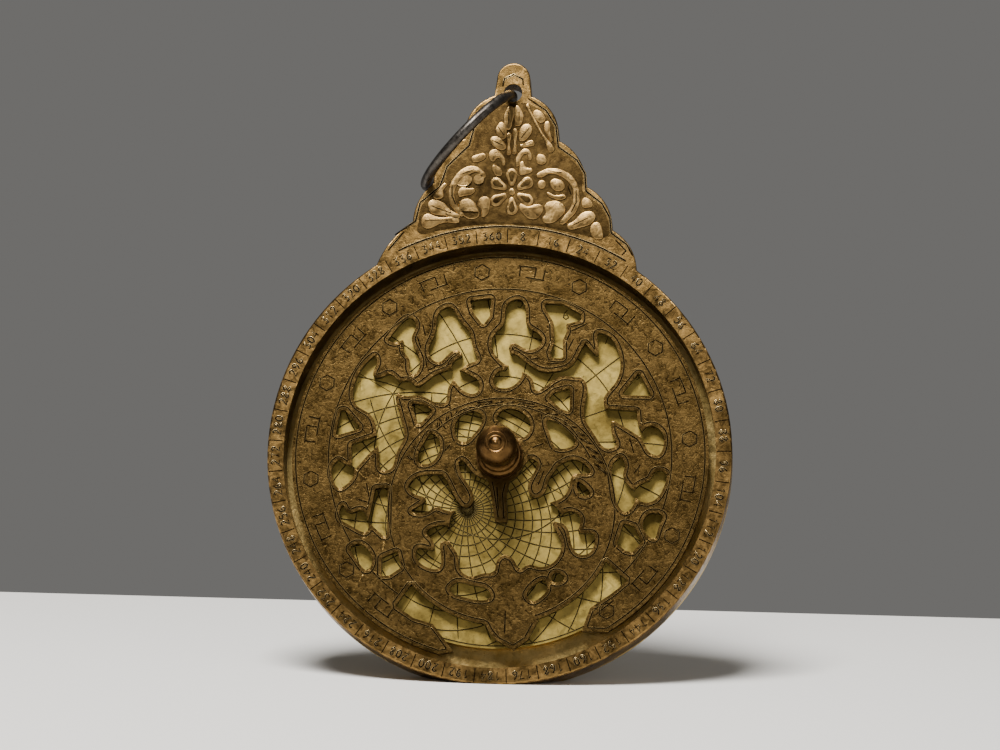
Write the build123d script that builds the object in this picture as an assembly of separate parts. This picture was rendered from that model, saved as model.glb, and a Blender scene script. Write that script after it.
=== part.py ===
from build123d import *
import math
import os

# A hand-held planispheric astrolabe in cast and pierced brass, standing upright.
# The origin is the centre of the disc on the front face of its rim. +X is to the right as the
# front is seen, +Y runs from the front to the back, and +Z points up to the hanging ring.
# All lengths are in millimetres.

# Rim and back of the mater
RIM_RADIUS = 60.0
RIM_WIDTH = 4.2
RIM_EDGE_ROUND = 0.45
BACK_PLATE_THICKNESS = 1.8
RIM_RIVET_COUNT = 8
RIM_RIVET_RADIUS = 0.8
RIM_RIVET_DEPTH = 3.0
RIM_RIVET_HEAD_RADIUS = 1.4

# Throne, the lobed bracket above the rim
THRONE_THICKNESS = 6.0
THRONE_RISE = 45.0
THRONE_TIP_RADIUS = 4.35
THRONE_NECK_RADIUS = 4.9
THRONE_NECK_BELOW_TIP = 9.0
THRONE_FOOT_ANGLE = 34.4
LOBE_STEPS = (0.0, 0.255, 0.52, 0.77, 1.0)
LOBE_BULGES_RIGHT = (2.5, 2.2, 2.1, 1.7)
LOBE_BULGES_LEFT = (2.5, 2.2, 1.25, 1.15)
LEFT_NOTCH_FILED_IN = 2.3
EYE_BELOW_TIP = 8.2
EYE_RADIUS = 2.45

# Hanging ring
RING_RADIUS = 16.3
RING_WIRE_RADIUS = 1.35
RING_TWIST = 5.0
RING_SAG = 0.5
RING_REST_GAP = 0.5

# Stack of plates in the recess
RETE_SET_BACK = 3.0
RETE_THICKNESS = 2.0
RETE_EDGE_GAP = 1.9
PLATE_COUNT = 4
PLATE_THICKNESS = 0.7
PLATE_EDGE_GAP = 5.8
LOCATING_PEG_RADIUS = 1.0
LOCATING_PEG_INSET = 3.5

# Axis bolt, knob and washers
BOLT_RADIUS = 2.5
BOLT_THREAD_RADIUS = 1.9
BOLT_THREAD_LENGTH = 9.0
BOLT_HEAD_RADIUS = 5.2
BOLT_HEAD_HEIGHT = 2.4
BOLT_DOME_HEIGHT = 1.2
FRONT_WASHER_RADIUS = 6.1
FRONT_WASHER_THICKNESS = 1.0
BACK_WASHER_RADIUS = 6.4
BACK_WASHER_THICKNESS = 0.8
KNOB_FOOT_RADIUS = 5.7
KNOB_FOOT_THICKNESS = 1.5
KNOB_COLLAR_RADIUS = 4.9
KNOB_COLLAR_THICKNESS = 1.1
KNOB_NECK_RADIUS = 3.5
KNOB_HEAD_RADIUS = 5.3
KNOB_HEIGHT = 16.5
KNOB_BUTTON_RADIUS = 1.4
KNOB_GROOVE_RADIUS = 2.7

# Alidade, the sighting bar on the back
ALIDADE_LENGTH = 106.0
ALIDADE_WIDTH = 8.0
ALIDADE_TIP_WIDTH = 3.0
ALIDADE_THICKNESS = 2.2
ALIDADE_BOSS_RADIUS = 8.5
VANE_SPACING = 76.0
VANE_HEIGHT = 11.0
VANE_THICKNESS = 1.2
VANE_FOOT_LENGTH = 5.0
VANE_FOOT_THICKNESS = 1.0
VANE_RIVET_RADIUS = 0.7
SIGHT_HOLE_RADIUS = 0.5
SIGHT_WINDOW_RADIUS = 1.1

# The step in which the ring is swung out until it rests on the flank, in degrees
LEAN_STEP = 0.2

# How near an edge's depth is to a face's for the edge to lie on it
FACE_TOLERANCE = 1e-4

# Clearances
TURNING_GAP = 0.1
RUNNING_FIT = 0.05
RIVET_FIT = 0.02

# Depths behind the rim's front face, worked out from the stack
RETE_BACK = RETE_SET_BACK + RETE_THICKNESS
PLATES_FRONT = RETE_BACK + TURNING_GAP
FLOOR = PLATES_FRONT + PLATE_COUNT * PLATE_THICKNESS
BACK_FACE = FLOOR + BACK_PLATE_THICKNESS
ALIDADE_FRONT = BACK_FACE + TURNING_GAP
ALIDADE_BACK = ALIDADE_FRONT + ALIDADE_THICKNESS
BACK_WASHER_FRONT = ALIDADE_BACK + TURNING_GAP
BOLT_HEAD_FRONT = BACK_WASHER_FRONT + BACK_WASHER_THICKNESS
FRONT_WASHER_BACK = RETE_SET_BACK - TURNING_GAP
KNOB_SEAT = FRONT_WASHER_BACK - FRONT_WASHER_THICKNESS

# Radii and heights worked out from the rim
RIM_INNER_RADIUS = RIM_RADIUS - RIM_WIDTH
RIM_MIDDLE_RADIUS = RIM_RADIUS - RIM_WIDTH / 2
RETE_RADIUS = RIM_INNER_RADIUS - RETE_EDGE_GAP
PLATE_RADIUS = RIM_INNER_RADIUS - PLATE_EDGE_GAP
LOCATING_PEG_HEIGHT = PLATE_RADIUS - LOCATING_PEG_INSET
BORE_RADIUS = BOLT_RADIUS + RUNNING_FIT
THRONE_MIDDLE = THRONE_THICKNESS / 2
THRONE_HEIGHT = RIM_RADIUS + THRONE_RISE
EYE_HEIGHT = THRONE_HEIGHT - EYE_BELOW_TIP


def front_plane(depth):
    """The plane that lies depth behind the rim's face, seen from the front with +X right and +Z up."""
    return Plane(origin=(0, depth, 0), x_dir=(1, 0, 0), z_dir=(0, -1, 0))


def slab(outline, front, back):
    """A flat piece: the outline, drawn as seen from the front, between two depths."""
    return extrude(front_plane(back) * outline, back - front)


def disc(radius, front, back, x=0.0, z=0.0):
    """A round slab, such as a plate, a bolt's shank or a hole for one."""
    return slab(Pos(x, z) * Circle(radius), front, back)


def turned(profile):
    """A lathe-turned piece: a closed profile of (radius, depth) spun round the disc's axis."""
    return revolve(Plane.XY * make_face(profile), Axis.Y)


def on_rete(point):
    """The rete's pattern is drawn for a sheet of one radius, and brought here to the sheet's own."""
    return Vector(*point) * (RETE_RADIUS / RETE_DRAWN_RADIUS)


def curved(*points):
    """A pierced opening or leaf with soft corners: a closed curve through the points."""
    return make_face(Spline([on_rete(point) for point in points], periodic=True))


def filed(*points):
    """An outline filed with straight sides and sharp corners."""
    return make_face(Polyline([on_rete(point) for point in points], close=True))


def angular(corner, *points):
    """A pierced opening filed with straight sides, its corners rounded."""
    shape = filed(*points)
    return fillet(shape.vertices(), corner)


def dome(radius, base, top):
    """The arc of a domed end, from its edge at one depth to the axis at another."""
    rise = abs(top - base)
    sphere = (radius**2 + rise**2) / (2 * rise)
    half_angle = math.asin(radius / sphere) / 2
    towards = 1 if top > base else -1
    middle = (sphere * math.sin(half_angle), top - towards * sphere * (1 - math.cos(half_angle)))
    return ThreePointArc((radius, base), middle, (0, top))


def save(node, solid):
    export_step(solid, os.path.join("parts", node + ".step"))
    print(node, round(solid.volume, 2))


def bulging_arc(start, end, bulge):
    """An arc between two corners whose middle stands out from their chord, to the right of it."""
    chord = Vector(*end) - Vector(*start)
    out = Vector(-chord.Y, chord.X).normalized() * bulge
    middle = (Vector(*start) + Vector(*end)) / 2 + out
    return ThreePointArc(start, (middle.X, middle.Y), end)


def throne_corners(filed_in=0.0):
    """The notches between the lobes step from the neck to the foot on the rim."""
    foot_turn = math.radians(THRONE_FOOT_ANGLE)
    neck = (THRONE_NECK_RADIUS, THRONE_HEIGHT - THRONE_NECK_BELOW_TIP)
    foot = (RIM_RADIUS * math.sin(foot_turn), RIM_RADIUS * math.cos(foot_turn))
    span = (foot[0] - neck[0], foot[1] - neck[1])
    corners = [(neck[0] + span[0] * step, neck[1] + span[1] * step) for step in LOBE_STEPS]
    notch_x, notch_z = corners[-2]
    corners[-2] = (notch_x - filed_in, notch_z + filed_in / 2)
    return corners


def throne_half(bulges, filed_in=0.0):
    """One side of the throne, drawn to the right, from the tip down to the middle of the rim."""
    tip_centre = (0, THRONE_HEIGHT - THRONE_TIP_RADIUS)
    rim_middle = (0, RIM_MIDDLE_RADIUS)
    corners = throne_corners(filed_in)
    edges = [
        CenterArc(tip_centre, THRONE_TIP_RADIUS, 0, 90),
        Line((THRONE_TIP_RADIUS, tip_centre[1]), corners[0]),
    ]
    for upper, lower, bulge in zip(corners, corners[1:], bulges):
        edges.append(bulging_arc(upper, lower, bulge))
    edges.append(Line(corners[-1], rim_middle))
    edges.append(Line(rim_middle, (0, THRONE_HEIGHT)))
    return make_face(edges)


def throne_outline():
    """The lobes were filed by hand, and the lower two are narrower on the left."""
    right = throne_half(LOBE_BULGES_RIGHT)
    left = throne_half(LOBE_BULGES_LEFT, LEFT_NOTCH_FILED_IN)
    return right + mirror(left, Plane.YZ)


def rivet_places():
    """The rim rivets stand on the middle of the rim's width."""
    for number in range(RIM_RIVET_COUNT):
        turn = 2 * math.pi * (number + 0.5) / RIM_RIVET_COUNT
        yield RIM_MIDDLE_RADIUS * math.sin(turn), RIM_MIDDLE_RADIUS * math.cos(turn)


def limb_and_throne():
    """The rim and the throne are one casting. Its recess is closed behind by the back plate."""
    rim = disc(RIM_RADIUS, 0, FLOOR)
    throne = slab(throne_outline(), 0, THRONE_THICKNESS)
    body = rim + throne
    outer = [edge for edge in body.edges() if abs(edge.center().Y) < FACE_TOLERANCE]
    body = fillet(outer, RIM_EDGE_ROUND)
    body -= disc(RIM_INNER_RADIUS, -1, FLOOR + 1)
    body -= disc(EYE_RADIUS, -1, THRONE_THICKNESS + 1, 0, EYE_HEIGHT)
    for x, z in rivet_places():
        body -= disc(RIM_RIVET_RADIUS + RIVET_FIT, FLOOR - RIM_RIVET_DEPTH, FLOOR + 1, x, z)
    return body


def back_plate():
    """The sheet that closes the recess, bored for the axis bolt, the peg and the rivets."""
    body = disc(RIM_RADIUS, FLOOR, BACK_FACE)
    back_edge = [edge for edge in body.edges() if abs(edge.center().Y - BACK_FACE) < FACE_TOLERANCE]
    body = fillet(back_edge, RIM_EDGE_ROUND)
    body -= disc(BORE_RADIUS, FLOOR - 1, BACK_FACE + 1)
    body -= disc(LOCATING_PEG_RADIUS + RIVET_FIT, FLOOR - 1, BACK_FACE + 1, 0, LOCATING_PEG_HEIGHT)
    for x, z in rivet_places():
        body -= rivet(x, z, RIVET_FIT)
    return body


def rivet(x, z, room=0.0):
    """A rivet with a countersunk head flush with the back face. With room it is the hole for one."""
    shank = RIM_RIVET_RADIUS + room
    head = RIM_RIVET_HEAD_RADIUS + room
    sink = head - shank
    profile = Polyline(
        (0, FLOOR - RIM_RIVET_DEPTH + 0.1),
        (shank, FLOOR - RIM_RIVET_DEPTH + 0.1),
        (shank, BACK_FACE - sink),
        (head, BACK_FACE),
        (0, BACK_FACE),
        close=True,
    )
    return Pos(x, 0, z) * turned(profile)


def rim_rivets():
    return Compound([rivet(x, z).solid() for x, z in rivet_places()])


def locating_peg():
    """The peg is riveted into the back plate and stops every plate from turning."""
    return disc(LOCATING_PEG_RADIUS, PLATES_FRONT, BACK_FACE, 0, LOCATING_PEG_HEIGHT)


def latitude_plate(number):
    """One of the loose plates in the recess, counted from the floor. The front one shows."""
    back = FLOOR - number * PLATE_THICKNESS
    front = back - PLATE_THICKNESS
    body = disc(PLATE_RADIUS, front, back)
    body -= disc(BORE_RADIUS, front - 1, back + 1)
    body -= disc(LOCATING_PEG_RADIUS + RUNNING_FIT, front - 1, back + 1, 0, LOCATING_PEG_HEIGHT)
    return body


# Rete: an outer band and the ecliptic ring, joined by beasts and leaves whose tips point out stars.
# Every outline is given at rest as it is seen from the front, as (x, z).
RETE_DRAWN_RADIUS = 53.9
OUTSIDE_DRAWING = 56.0
ECLIPTIC_LEFT = -29.2
ECLIPTIC_RIGHT = 31.2
ECLIPTIC_LEVEL = -13.9


def rete_crown_windows():
    """The openings above the ecliptic ring, round the two beasts and the tall stem."""
    return [
        angular(0.5, (-9.4, 41.2), (-3.7, 42.0), (-4.0, 37.0), (-5.7, 34.6), (-8.4, 38.0)),
        curved((-15.6, 39.2), (-17.5, 37.4), (-18.1, 32.3), (-19.5, 28.6), (-18.6, 25.2), (-17.0, 24.5),
               (-14.6, 26.4), (-12.0, 27.7), (-10.8, 26.8), (-13.2, 24.4), (-12.8, 22.2), (-11.0, 22.6),
               (-9.4, 24.0), (-6.9, 25.2), (-8.0, 28.4), (-8.8, 32.0), (-12.0, 36.2)),
        curved((-30.3, 30.2), (-27.6, 34.1), (-24.5, 36.1), (-23.2, 34.6), (-24.1, 31.0), (-22.6, 27.0),
               (-21.9, 22.6), (-23.3, 21.0), (-24.4, 22.8), (-24.6, 25.2), (-26.2, 27.4), (-26.4, 30.2),
               (-28.6, 29.4)),
        curved((-12.9, 20.2), (-11.4, 18.2), (-9.2, 16.5), (-6.6, 16.6), (-6.2, 19.6), (-8.4, 21.2),
               (-11.4, 22.4), (-12.8, 22.2)),
        curved((-26.0, 19.2), (-27.8, 17.2), (-26.2, 15.5), (-21.6, 15.5), (-17.2, 13.7), (-14.8, 13.6),
               (-14.1, 17.4), (-12.6, 20.2), (-12.4, 22.6), (-15.4, 22.1), (-18.4, 20.6), (-22.4, 18.0)),
        curved((2.6, 41.7), (0.2, 39.8), (-0.4, 35.0), (-2.8, 32.0), (-3.0, 28.2), (-1.4, 25.8),
               (1.8, 24.2), (2.6, 25.6), (1.3, 28.6), (2.0, 29.9), (4.4, 29.1), (7.6, 28.4), (9.9, 31.0),
               (8.4, 33.0), (5.8, 34.8), (5.4, 38.4)),
        curved((-1.9, 21.6), (-1.8, 18.5), (0.8, 17.9), (3.8, 19.5), (5.0, 22.0), (3.8, 24.2), (2.2, 25.0),
               (0.6, 23.0)),
        curved((1.9, 26.4), (2.6, 24.2), (5.4, 22.2), (7.8, 20.2), (8.6, 17.6), (11.8, 19.2),
               (15.8, 21.5), (20.4, 21.5), (21.6, 25.0), (20.6, 29.4), (18.4, 25.2), (13.8, 22.8),
               (7.0, 24.2)),
        angular(0.5, (10.2, 40.9), (15.0, 40.7), (19.7, 38.2), (19.8, 36.4), (15.9, 35.4), (16.2, 33.4),
                (15.2, 31.0), (15.5, 26.2), (12.6, 26.2), (12.1, 27.8), (13.0, 30.2), (12.6, 35.8),
                (10.4, 39.4)),
    ]


def rete_left_windows():
    return [
        curved((-33.8, 25.7), (-36.4, 23.0), (-38.6, 18.0), (-38.7, 14.4), (-37.4, 12.2), (-34.4, 10.4),
               (-32.7, 7.8), (-32.0, 3.0), (-31.2, -1.0), (-30.3, -4.5), (-28.4, -4.3), (-26.8, 0.0),
               (-24.9, 4.4), (-25.8, 8.4), (-27.2, 13.0), (-27.6, 14.9), (-26.0, 17.6), (-27.6, 19.8),
               (-29.6, 21.1), (-31.4, 20.3), (-33.5, 20.1), (-33.6, 22.0), (-32.9, 24.0)),
        angular(0.5, (-42.9, 4.2), (-41.8, 11.1), (-40.6, 11.1), (-36.3, 6.4)),
        angular(0.4, (-31.6, 4.9), (-38.6, 2.1), (-38.2, -3.8), (-37.3, -4.6), (-34.2, -0.6),
                (-31.6, 2.0)),
        curved((-42.0, -2.3), (-43.4, -4.4), (-43.0, -7.2), (-41.2, -9.5), (-39.2, -8.4), (-37.6, -5.0),
               (-38.6, -3.6), (-40.4, -2.9)),
        curved((-39.7, -14.4), (-37.4, -15.8), (-35.6, -15.1), (-33.6, -17.0), (-33.8, -20.9),
               (-36.2, -20.2), (-39.2, -18.6), (-40.9, -16.2)),
        angular(0.5, (-31.8, -9.3), (-28.6, -9.0), (-28.3, -22.0), (-29.3, -21.8), (-33.3, -18.2),
                (-32.6, -14.2)),
        curved((-37.5, -24.9), (-35.2, -24.0), (-33.0, -25.5), (-31.8, -28.8), (-33.0, -30.8),
               (-35.2, -29.0), (-37.0, -26.6)),
        angular(0.6, (-29.4, -27.4), (-25.4, -25.6), (-24.2, -29.9), (-27.2, -32.1), (-29.3, -32.3)),
    ]


def rete_right_windows():
    return [
        curved((20.8, 30.2), (19.4, 26.4), (19.2, 22.4), (21.3, 20.4), (21.6, 15.0), (21.8, 10.0),
               (24.4, 6.0), (28.0, 2.6), (29.9, 3.4), (28.8, 6.6), (28.4, 10.0), (26.9, 13.0),
               (26.4, 15.8), (28.8, 19.4), (30.4, 24.0), (29.6, 28.8), (26.4, 32.8), (24.5, 33.2),
               (24.5, 29.6), (24.3, 27.3), (22.6, 28.6)),
        angular(0.4, (26.6, 13.2), (35.0, 12.8), (35.4, 9.2), (36.8, 6.9), (35.9, 6.0), (29.4, 9.9),
                (28.0, 9.9)),
        curved((36.3, 6.6), (39.2, 8.9), (41.6, 7.4), (42.2, 4.0), (40.8, 1.2), (38.6, 1.9),
               (36.9, 4.6)),
        angular(0.5, (35.3, 23.0), (30.7, 16.8), (38.7, 16.8)),
        curved((30.8, 0.3), (29.1, -2.0), (29.4, -6.4), (30.8, -12.0), (32.8, -13.9), (35.2, -11.4),
               (35.4, -9.0), (33.6, -7.0), (32.0, -4.2), (32.3, -1.2)),
        curved((34.9, -8.2), (37.4, -6.1), (39.0, -5.2), (40.4, -3.0), (42.9, -3.4), (42.6, -7.0),
               (40.8, -10.2), (38.6, -11.3), (35.6, -10.2)),
        curved((38.3, -14.7), (40.6, -13.9), (42.4, -14.5), (41.6, -17.6), (40.4, -20.7),
               (38.4, -19.4), (37.4, -17.0)),
        angular(0.6, (32.5, -16.8), (35.3, -17.6), (37.3, -21.8), (35.0, -24.4), (33.2, -24.0),
                (31.0, -22.2)),
    ]


def rete_ring_windows():
    """The small openings inside the ecliptic ring and in the horns on its shoulders."""
    return [
        angular(0.5, (-23.6, 13.4), (-20.4, 13.1), (-17.8, 11.6), (-21.4, 7.4)),
        angular(0.5, (12.0, 15.6), (13.6, 17.2), (17.6, 18.4), (17.6, 12.0), (15.4, 12.8)),
        curved((-11.9, 6.4), (-10.6, 10.3), (-7.6, 11.7), (-5.0, 10.6), (-5.2, 8.2), (-7.2, 5.2),
               (-9.4, 3.4), (-11.2, 4.3)),
        curved((-1.1, 10.4), (0.6, 12.3), (4.2, 12.2), (7.2, 9.8), (7.4, 6.6), (5.8, 5.0), (3.4, 6.4),
               (0.8, 8.2)),
        curved((12.4, 9.9), (15.6, 8.8), (18.4, 6.2), (19.4, 3.9), (17.2, 2.4), (14.4, 2.6), (13.0, 5.2)),
        curved((-17.4, 5.4), (-15.7, 3.4), (-16.1, -0.4), (-18.2, -2.5), (-20.8, -2.3), (-21.1, 0.2),
               (-19.6, 3.4)),
        curved((20.4, -6.3), (22.6, -7.6), (23.6, -9.4), (22.0, -9.9), (20.3, -8.2)),
        curved((-11.4, -34.6), (-9.4, -33.3), (-5.6, -34.0), (-1.9, -35.0), (-0.9, -36.9), (-3.4, -37.9),
               (-7.8, -37.2), (-10.8, -36.2)),
        curved((8.3, -36.2), (9.8, -33.8), (12.8, -32.4), (13.5, -34.2), (11.8, -36.8), (9.6, -37.7)),
        curved((14.5, -31.4), (16.4, -30.3), (17.8, -31.6), (16.4, -32.7)),
    ]


def rete_field():
    """The wide opening inside the ecliptic ring, before the three fingers are put back."""
    crescent_left = curved((-23.1, -7.8), (-20.8, -5.8), (-16.0, -5.2), (-12.6, -4.6), (-9.8, -1.4),
                           (-6.6, -4.7), (-2.4, -6.8), (-1.0, -12.0), (-4.0, -17.0), (-10.4, -15.0),
                           (-13.6, -14.6), (-15.8, -13.9), (-18.8, -15.5), (-22.2, -15.0),
                           (-20.4, -13.6), (-18.7, -11.7), (-21.0, -10.9))
    crescent_right = curved((2.4, -6.6), (5.2, -4.4), (8.3, -0.5), (11.0, -2.2), (14.2, -2.6),
                            (18.0, -0.6), (22.6, -2.1), (23.6, -3.7), (19.4, -4.4), (18.2, -7.8),
                            (16.2, -10.8), (13.4, -12.0), (8.0, -15.0), (2.0, -17.0), (1.6, -12.0))
    middle = curved((-10.8, -14.9), (-3.0, -13.0), (5.0, -13.0), (13.4, -12.0), (16.6, -15.0),
                    (17.2, -17.2), (14.4, -17.0), (15.6, -19.8), (16.8, -23.6), (14.6, -27.8),
                    (11.0, -28.8), (8.0, -28.5), (6.4, -29.6), (4.8, -27.4), (2.0, -26.0), (0.2, -28.0),
                    (-0.4, -30.6), (-3.0, -30.9), (-5.8, -31.8), (-9.2, -29.8), (-9.8, -26.4),
                    (-11.8, -23.2), (-12.3, -18.6))
    paw_left = curved((-11.8, -20.2), (-17.4, -19.6), (-18.2, -20.5), (-16.5, -22.6), (-16.2, -25.0),
                      (-20.2, -24.8), (-20.6, -26.2), (-17.0, -29.9), (-14.8, -30.0), (-14.2, -26.0),
                      (-14.0, -22.9), (-11.8, -22.4))
    paw_right = curved((16.4, -15.4), (19.4, -14.2), (21.5, -16.2), (21.0, -19.4), (24.8, -19.9),
                       (25.2, -22.6), (23.8, -25.0), (21.4, -25.3), (19.0, -21.6), (17.6, -17.9))
    return crescent_left + crescent_right + middle + paw_left + paw_right


def rete_fingers():
    """Three pointers that hang from the hub into the wide opening."""
    left = curved((-15.6, -4.2), (-12.9, -7.8), (-10.8, -11.6), (-8.0, -13.8), (-6.5, -12.4),
                  (-7.4, -8.4), (-10.2, -3.8), (-11.4, -0.8), (-14.0, -1.4))
    middle = angular(0.4, (-3.4, -4.5), (-2.2, -8.5), (-0.5, -17.4), (2.7, -17.4), (2.1, -10.0),
                     (3.2, -4.5))
    right = curved((9.9, -1.0), (8.4, -5.4), (7.6, -8.6), (9.2, -10.7), (11.8, -9.4), (13.0, -5.6),
                   (14.8, -2.4), (13.0, 0.0))
    return left + middle + right


def rete_bottom_bay():
    """The band stops in two feet, and between them the ring's pointer stands over the plate's edge."""
    bay = filed((-21.3, -33.9), (-25.3, -39.9), (-20.4, -43.0), (-15.4, -44.4), (-10.0, -51.3),
                (-14.6, -52.4), (-14.6, -OUTSIDE_DRAWING), (30.0, -OUTSIDE_DRAWING), (30.4, -45.3),
                (22.7, -45.2), (24.7, -39.1), (30.0, -35.3), (34.0, -31.8), (28.3, -27.0), (0.0, -20.0))
    pointer = filed((-3.0, -42.5), (-0.8, -46.2), (1.0, -48.2), (5.4, -50.4), (9.0, -47.8), (11.6, -42.5))
    left = on_rete((ECLIPTIC_LEFT, ECLIPTIC_LEVEL))
    right = on_rete((ECLIPTIC_RIGHT, ECLIPTIC_LEVEL))
    ecliptic = Pos((left + right) / 2) * Circle((right - left).length / 2)
    return bay - ecliptic - pointer


def rete():
    """The pierced star map turns in front of the plates."""
    openings = rete_field() - rete_fingers()
    for window in rete_crown_windows() + rete_left_windows() + rete_right_windows() + rete_ring_windows():
        openings += window
    openings += rete_bottom_bay()
    sheet = Circle(RETE_RADIUS) - openings - Circle(BORE_RADIUS)
    return slab(sheet, RETE_SET_BACK, RETE_BACK)


def axis_bolt():
    """Head behind the alidade, plain shank through the stack, thinner threaded end in the knob."""
    shank = disc(BOLT_RADIUS, KNOB_SEAT, BOLT_HEAD_FRONT)
    thread = disc(BOLT_THREAD_RADIUS, KNOB_SEAT - BOLT_THREAD_LENGTH, KNOB_SEAT)
    head_back = BOLT_HEAD_FRONT + BOLT_HEAD_HEIGHT
    dome_start = head_back - BOLT_DOME_HEIGHT
    head = turned([
        Line((0, BOLT_HEAD_FRONT), (BOLT_HEAD_RADIUS, BOLT_HEAD_FRONT)),
        Line((BOLT_HEAD_RADIUS, BOLT_HEAD_FRONT), (BOLT_HEAD_RADIUS, dome_start)),
        dome(BOLT_HEAD_RADIUS, dome_start, head_back),
        Line((0, head_back), (0, BOLT_HEAD_FRONT)),
    ])
    return shank + thread + head


def washer(radius, front, thickness):
    return disc(radius, front, front + thickness) - disc(BORE_RADIUS, front - 1, front + thickness + 1)


def knob():
    """Turned foot and collar, a waisted neck, and a round head with a raised ring and button."""
    foot_front = KNOB_SEAT - KNOB_FOOT_THICKNESS
    collar_front = foot_front - KNOB_COLLAR_THICKNESS
    tip = KNOB_SEAT - KNOB_HEIGHT
    head_centre = tip + KNOB_HEAD_RADIUS
    neck_front = head_centre + KNOB_HEAD_RADIUS * 0.72
    groove = 0.35
    profile = [
        Line((0, KNOB_SEAT), (KNOB_FOOT_RADIUS, KNOB_SEAT)),
        Line((KNOB_FOOT_RADIUS, KNOB_SEAT), (KNOB_FOOT_RADIUS, foot_front + 0.3)),
        Line((KNOB_FOOT_RADIUS, foot_front + 0.3), (KNOB_COLLAR_RADIUS, foot_front)),
        Line((KNOB_COLLAR_RADIUS, foot_front), (KNOB_COLLAR_RADIUS, collar_front)),
        ThreePointArc(
            (KNOB_COLLAR_RADIUS, collar_front),
            (KNOB_NECK_RADIUS, (collar_front + neck_front) / 2),
            (KNOB_HEAD_RADIUS * 0.69, neck_front),
        ),
        ThreePointArc(
            (KNOB_HEAD_RADIUS * 0.69, neck_front),
            (KNOB_HEAD_RADIUS, head_centre),
            (KNOB_GROOVE_RADIUS + 0.5, tip + 1.1),
        ),
        Line((KNOB_GROOVE_RADIUS + 0.5, tip + 1.1), (KNOB_GROOVE_RADIUS, tip + 0.5)),
        ThreePointArc(
            (KNOB_GROOVE_RADIUS, tip + 0.5),
            ((KNOB_GROOVE_RADIUS + KNOB_BUTTON_RADIUS) / 2, tip + 0.5 + groove),
            (KNOB_BUTTON_RADIUS, tip + 0.45),
        ),
        dome(KNOB_BUTTON_RADIUS, tip + 0.45, tip),
        Line((0, tip), (0, KNOB_SEAT)),
    ]
    threaded_hole = disc(BOLT_THREAD_RADIUS + RUNNING_FIT, KNOB_SEAT - BOLT_THREAD_LENGTH - 0.5, KNOB_SEAT + 1)
    return turned(profile) - threaded_hole


def alidade():
    """A flat bar with a round boss. Each half narrows to a pointed end that reads the back's scale."""
    half = ALIDADE_LENGTH / 2
    shoulder = half - ALIDADE_WIDTH
    bar = make_face(Polyline(
        (-shoulder, -ALIDADE_WIDTH / 2),
        (shoulder, -ALIDADE_WIDTH / 2),
        (half, -ALIDADE_TIP_WIDTH / 2),
        (half, ALIDADE_TIP_WIDTH / 2),
        (shoulder, ALIDADE_WIDTH / 2),
        (-shoulder, ALIDADE_WIDTH / 2),
        (-half, ALIDADE_TIP_WIDTH / 2),
        (-half, -ALIDADE_TIP_WIDTH / 2),
        close=True,
    ))
    body = slab(bar + Circle(ALIDADE_BOSS_RADIUS), ALIDADE_FRONT, ALIDADE_BACK)
    body -= disc(BORE_RADIUS, ALIDADE_FRONT - 1, ALIDADE_BACK + 1)
    for x, z in vane_rivet_places():
        body -= disc(VANE_RIVET_RADIUS + RIVET_FIT, ALIDADE_FRONT - 1, ALIDADE_BACK + 1, x, z)
    return body


def vane_rivet_places(sides=(-1, 1)):
    """Two rivets hold the foot of each vane."""
    for side in sides:
        for z in (-ALIDADE_WIDTH / 4, ALIDADE_WIDTH / 4):
            yield side * (VANE_SPACING / 2 - VANE_FOOT_LENGTH / 2), z


def sighting_vane(side):
    """A bent sheet: a foot on the bar, and an upright with a sight hole and a wider window."""
    foot = Box(VANE_FOOT_LENGTH, VANE_FOOT_THICKNESS, ALIDADE_WIDTH, align=(Align.MIN, Align.MIN, Align.CENTER))
    foot = Pos(VANE_SPACING / 2 - VANE_FOOT_LENGTH, ALIDADE_BACK, 0) * foot
    top = ALIDADE_BACK + VANE_HEIGHT
    blade = Plane.XY * make_face([
        Line((-ALIDADE_WIDTH / 2, ALIDADE_BACK), (ALIDADE_WIDTH / 2, ALIDADE_BACK)),
        Line((ALIDADE_WIDTH / 2, ALIDADE_BACK), (ALIDADE_WIDTH / 2, top - ALIDADE_WIDTH / 2)),
        ThreePointArc((ALIDADE_WIDTH / 2, top - ALIDADE_WIDTH / 2), (0, top), (-ALIDADE_WIDTH / 2, top - ALIDADE_WIDTH / 2)),
        Line((-ALIDADE_WIDTH / 2, top - ALIDADE_WIDTH / 2), (-ALIDADE_WIDTH / 2, ALIDADE_BACK)),
    ])
    blade = extrude(blade, VANE_THICKNESS)
    sight = Pos(0, top - ALIDADE_WIDTH / 2, 0) * Cylinder(SIGHT_HOLE_RADIUS, 10 * VANE_THICKNESS)
    window = Pos(0, ALIDADE_BACK + VANE_HEIGHT * 0.32, 0) * Cylinder(SIGHT_WINDOW_RADIUS, 10 * VANE_THICKNESS)
    blade = blade - sight - window
    blade = Pos(VANE_SPACING / 2 - VANE_THICKNESS, 0, 0) * Rot(0, 90, 0) * blade
    body = foot + blade
    for x, z in vane_rivet_places((1,)):
        body -= disc(VANE_RIVET_RADIUS + RIVET_FIT, ALIDADE_BACK - 1, ALIDADE_BACK + VANE_HEIGHT, x, z)
    return body if side > 0 else mirror(body, Plane.YZ)


def vane_rivets():
    """Flush in front of the bar and domed over the vane's foot."""
    foot_back = ALIDADE_BACK + VANE_FOOT_THICKNESS
    rivets = []
    for x, z in vane_rivet_places():
        shank = disc(VANE_RIVET_RADIUS, ALIDADE_FRONT, foot_back, x, z)
        head = disc(VANE_RIVET_RADIUS * 1.5, foot_back, foot_back + 0.5, x, z)
        rivets.append((shank + head).solid())
    return Compound(rivets)


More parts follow.
